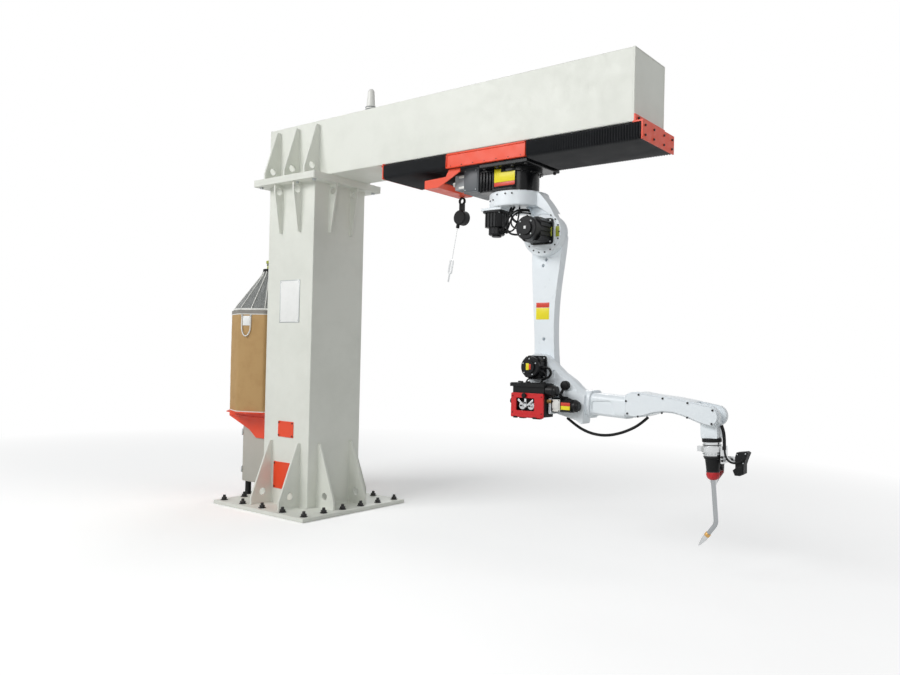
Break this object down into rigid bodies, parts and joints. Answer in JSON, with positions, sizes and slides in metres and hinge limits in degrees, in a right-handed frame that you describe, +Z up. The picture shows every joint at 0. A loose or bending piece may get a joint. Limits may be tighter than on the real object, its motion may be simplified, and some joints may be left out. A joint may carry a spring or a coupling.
{
  "type": "ceiling-hung arc welding robot on a cantilever beam",
  "caption": "Six-axis arc welding arm hung from a carriage that slides under a cantilever box beam on a floor column, with wire drum.",
  "frame": {"origin": "centre of the base plate's underside, on the column's axis", "axes": "+X along the beam from the column to its free end, +Y away from the working side, +Z up"},
  "size_m": [3.8129, 0.92, 2.796],
  "materials": {
    "paint_pale": "satin",
    "paint_orange": "satin",
    "cast_white": "satin",
    "motor_black": "satin",
    "dark_steel": "satin",
    "steel": "brushed",
    "rail_steel": "ground",
    "bellows_black": "matte",
    "carton": "matte",
    "hood_clear": "clear",
    "fitting_green": "matte",
    "lamp_white": "gloss",
    "feeder_red": "satin",
    "plastic_black": "matte",
    "hose_black": "matte",
    "collar_red": "satin",
    "brass": "satin"
  },
  "bodies": {
    "structure": {"base_plate": "paint_pale", "column": "paint_pale", "column_gussets": "paint_pale", "column_covers": "paint_orange", "column_flange": "paint_pale", "seat_plate": "paint_pale", "seat_gussets": "paint_pale", "beam": "paint_pale", "beam_caps": "paint_pale", "guide_rails": "rail_steel", "end_plate_left": "paint_orange", "end_plate_right": "paint_orange", "bellows_left": "bellows_black", "bellows_right": "bellows_black", "beacon": "lamp_white", "drum_bracket": "paint_orange", "wire_drum": "carton", "drum_hood": "hood_clear", "hood_outlet": "fitting_green", "junction_box": "paint_pale"},
    "carriage": {"carriage_plate": "dark_steel", "carriage_skirts": "paint_orange", "robot_mount_plate": "dark_steel", "robot_base": "dark_steel", "connector_box": "dark_steel", "cable_connectors": "steel", "hose_bracket": "paint_orange", "spring_balancer": "plastic_black", "balancer_hook": "steel"},
    "swivel": {"swivel_housing": "cast_white", "swivel_motor": "motor_black", "shoulder_motor": "motor_black", "swivel_cables": "hose_black"},
    "lower_arm": {"lower_arm": "cast_white"},
    "elbow": {"elbow_housing": "cast_white", "elbow_motor": "motor_black", "roll_motor": "motor_black", "elbow_cables": "hose_black", "feeder_case": "plastic_black", "feeder_door": "feeder_red", "drive_rolls": "steel", "feeder_motor": "motor_black"},
    "forearm": {"forearm_housing": "cast_white", "forearm_covers": "cast_white", "feeder_hose": "hose_black"},
    "wrist": {"wrist_body": "cast_white"},
    "torch": {"torch_flange": "plastic_black", "torch_mount": "steel", "torch_body": "plastic_black", "torch_collar": "collar_red", "swan_neck": "steel", "gas_nozzle": "brass", "sensor_bracket": "steel", "seam_sensor": "plastic_black", "sensor_cable": "hose_black"}
  },
  "joints": [
    {"name": "carriage_slide", "type": "slide", "parent": "structure", "child": "carriage", "axis": [-1, 0, 0], "range_m": [-0.44, 0.3], "deforming": ["bellows_left", "bellows_right"]},
    {"name": "swivel_turn", "type": "hinge", "parent": "carriage", "child": "swivel", "pos_m": [1.7, 0, 1.97], "axis": [0, 0, 1], "range_deg": [-160, 160]},
    {"name": "shoulder_swing", "type": "hinge", "parent": "swivel", "child": "lower_arm", "pos_m": [1.9, 0, 1.74], "axis": [0, 1, 0], "range_deg": [-75, 60]},
    {"name": "elbow_bend", "type": "hinge", "parent": "lower_arm", "child": "elbow", "pos_m": [1.9, 0, 1.002], "axis": [0, -1, 0], "range_deg": [-80, 60]},
    {"name": "forearm_roll", "type": "hinge", "parent": "elbow", "child": "forearm", "pos_m": [2.838, 0, 0.79], "axis": [0.9989, 0, -0.0471], "range_deg": [-150, 150], "deforming": ["feeder_hose"]},
    {"name": "wrist_bend", "type": "hinge", "parent": "forearm", "child": "wrist", "pos_m": [2.838, 0, 0.79], "axis": [0, -1, 0], "range_deg": [-30, 135]},
    {"name": "torch_turn", "type": "hinge", "parent": "wrist", "child": "torch", "pos_m": [2.838, 0, 0.79], "axis": [0.0558, 0, -0.9984], "range_deg": [-120, 120], "deforming": ["sensor_cable"]}
  ]
}
